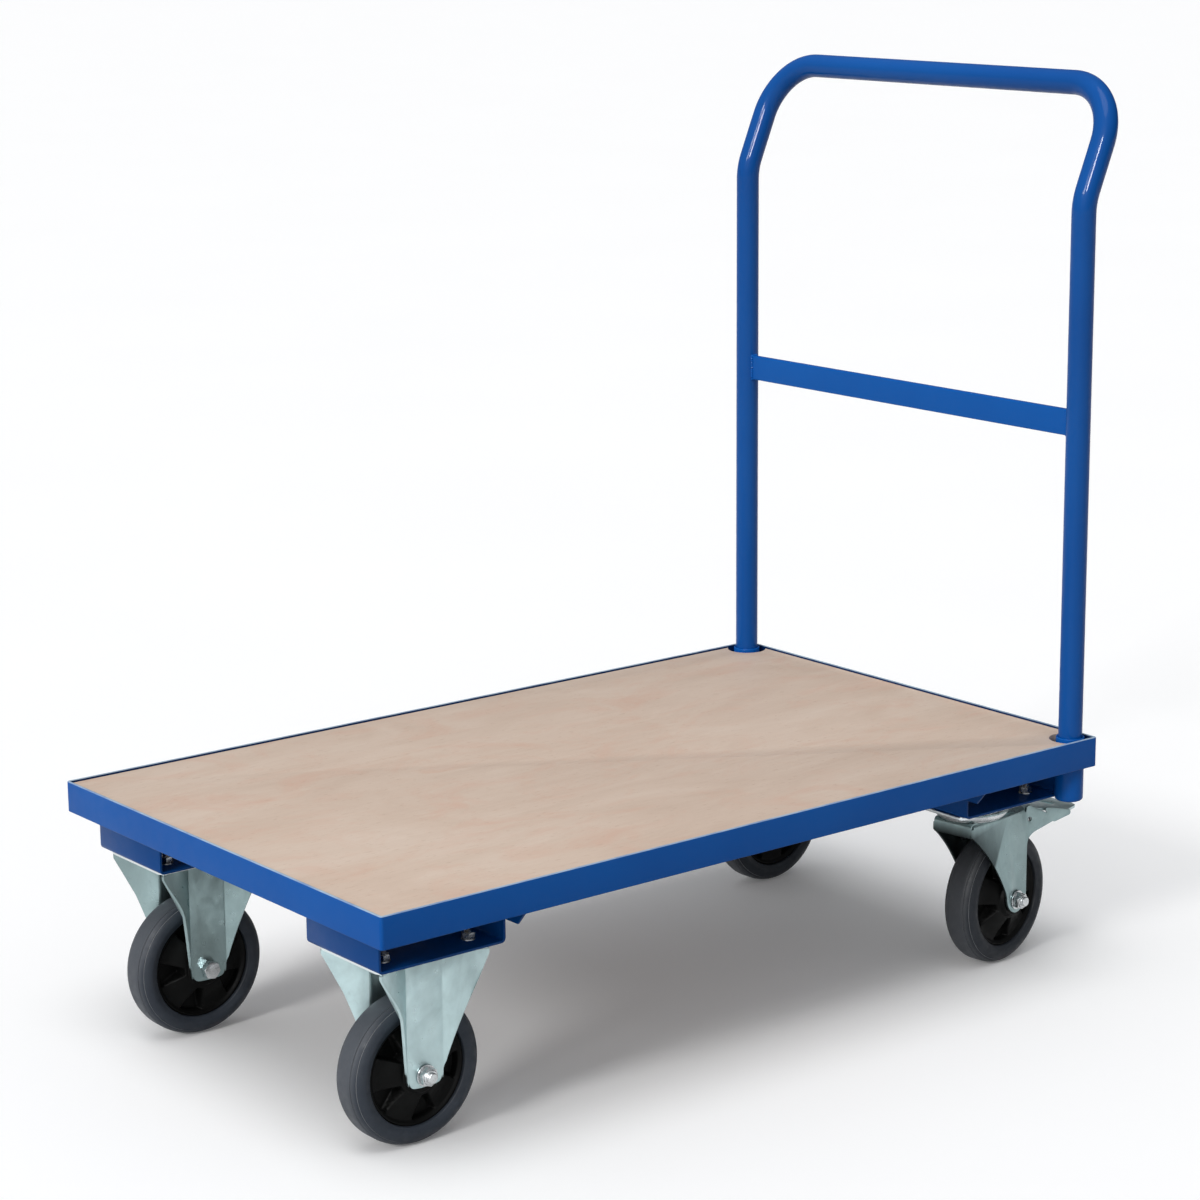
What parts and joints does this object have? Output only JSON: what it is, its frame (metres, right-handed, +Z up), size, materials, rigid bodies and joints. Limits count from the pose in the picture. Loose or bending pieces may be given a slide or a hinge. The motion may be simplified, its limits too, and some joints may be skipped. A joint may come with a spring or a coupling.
{
  "type": "platform trolley",
  "caption": "Steel platform trolley with plywood deck, lift-out tubular push handle, fixed castors at the front and braked swivel castors at the handle end.",
  "frame": {"origin": "on the floor, under the centre of the whole trolley's outline", "axes": "+X along the deck to the handle end, +Y across the deck to the right of a person pushing from the handle end, +Z up"},
  "size_m": [1.06, 0.612, 1.043],
  "materials": {
    "blue_paint": "smooth gentian-blue powder coat",
    "plywood": "bare pale beech plywood, fine grain",
    "zinc": "bright blue-passivated zinc plate",
    "tyre_rubber": "dark grey solid rubber",
    "rim_plastic": "black moulded plastic",
    "bearing_steel": "machined steel"
  },
  "bodies": {
    "frame": {"rail_left": "blue_paint", "rail_right": "blue_paint", "rail_front": "blue_paint", "rail_rear": "blue_paint", "deck_board": "plywood", "cross_member_front": "blue_paint", "cross_member_rear": "blue_paint", "castor_bracket_front_left": "blue_paint", "castor_bracket_front_right": "blue_paint", "castor_bracket_rear_left": "blue_paint", "castor_bracket_rear_right": "blue_paint", "handle_socket_left": "blue_paint", "handle_socket_right": "blue_paint", "fixed_castor_housing_left": "zinc", "fixed_axle_bolt_left": "zinc", "fixed_axle_nut_left": "zinc", "fixed_axle_tube_left": "zinc", "fixed_castor_housing_right": "zinc", "fixed_axle_bolt_right": "zinc", "fixed_axle_nut_right": "zinc", "fixed_axle_tube_right": "zinc", "swivel_top_plate_left": "zinc", "swivel_ball_race_left": "bearing_steel", "swivel_kingpin_left": "bearing_steel", "swivel_top_plate_right": "zinc", "swivel_ball_race_right": "bearing_steel", "swivel_kingpin_right": "bearing_steel"},
    "fixed_wheel_left": {"fixed_tyre_left": "tyre_rubber", "fixed_rim_left": "rim_plastic", "fixed_roller_bearing_left": "bearing_steel"},
    "fixed_wheel_right": {"fixed_tyre_right": "tyre_rubber", "fixed_rim_right": "rim_plastic", "fixed_roller_bearing_right": "bearing_steel"},
    "swivel_fork_left": {"swivel_fork_left": "zinc", "swivel_axle_bolt_left": "zinc", "swivel_axle_nut_left": "zinc", "swivel_axle_tube_left": "zinc", "brake_pin_left": "bearing_steel"},
    "swivel_wheel_left": {"swivel_tyre_left": "tyre_rubber", "swivel_rim_left": "rim_plastic", "swivel_roller_bearing_left": "bearing_steel"},
    "brake_pedal_left": {"brake_pedal_left": "zinc"},
    "swivel_fork_right": {"swivel_fork_right": "zinc", "swivel_axle_bolt_right": "zinc", "swivel_axle_nut_right": "zinc", "swivel_axle_tube_right": "zinc", "brake_pin_right": "bearing_steel"},
    "swivel_wheel_right": {"swivel_tyre_right": "tyre_rubber", "swivel_rim_right": "rim_plastic", "swivel_roller_bearing_right": "bearing_steel"},
    "brake_pedal_right": {"brake_pedal_right": "zinc"},
    "handle": {"handle_tube": "blue_paint", "handle_crossbar": "blue_paint"}
  },
  "joints": [
    {"name": "fixed_wheel_left_spin", "type": "hinge", "parent": "frame", "child": "fixed_wheel_left", "pos_m": [-0.434, -0.207, 0.08], "axis": [0, 1, 0], "continuous": true},
    {"name": "fixed_wheel_right_spin", "type": "hinge", "parent": "frame", "child": "fixed_wheel_right", "pos_m": [-0.434, 0.207, 0.08], "axis": [0, 1, 0], "continuous": true},
    {"name": "castor_left_swivel", "type": "hinge", "parent": "frame", "child": "swivel_fork_left", "pos_m": [0.371, -0.207, 0.188], "axis": [0, 0, 1], "continuous": true},
    {"name": "swivel_wheel_left_spin", "type": "hinge", "parent": "swivel_fork_left", "child": "swivel_wheel_left", "pos_m": [0.42236, -0.19886, 0.08], "axis": [-0.1564, 0.9877, 0], "continuous": true},
    {"name": "brake_pedal_left_press", "type": "hinge", "parent": "swivel_fork_left", "child": "brake_pedal_left", "pos_m": [0.44409, -0.19542, 0.1745], "axis": [-0.1564, 0.9877, 0], "range_deg": [0, 15]},
    {"name": "castor_right_swivel", "type": "hinge", "parent": "frame", "child": "swivel_fork_right", "pos_m": [0.371, 0.207, 0.188], "axis": [0, 0, 1], "continuous": true},
    {"name": "swivel_wheel_right_spin", "type": "hinge", "parent": "swivel_fork_right", "child": "swivel_wheel_right", "pos_m": [0.42297, 0.20882, 0.08], "axis": [-0.0349, 0.9994, 0], "continuous": true},
    {"name": "brake_pedal_right_press", "type": "hinge", "parent": "swivel_fork_right", "child": "brake_pedal_right", "pos_m": [0.44495, 0.20958, 0.1745], "axis": [-0.0349, 0.9994, 0], "range_deg": [0, 15]},
    {"name": "handle_lift", "type": "slide", "parent": "frame", "child": "handle", "axis": [0, 0, 1], "range_m": [0, 0.08]}
  ]
}
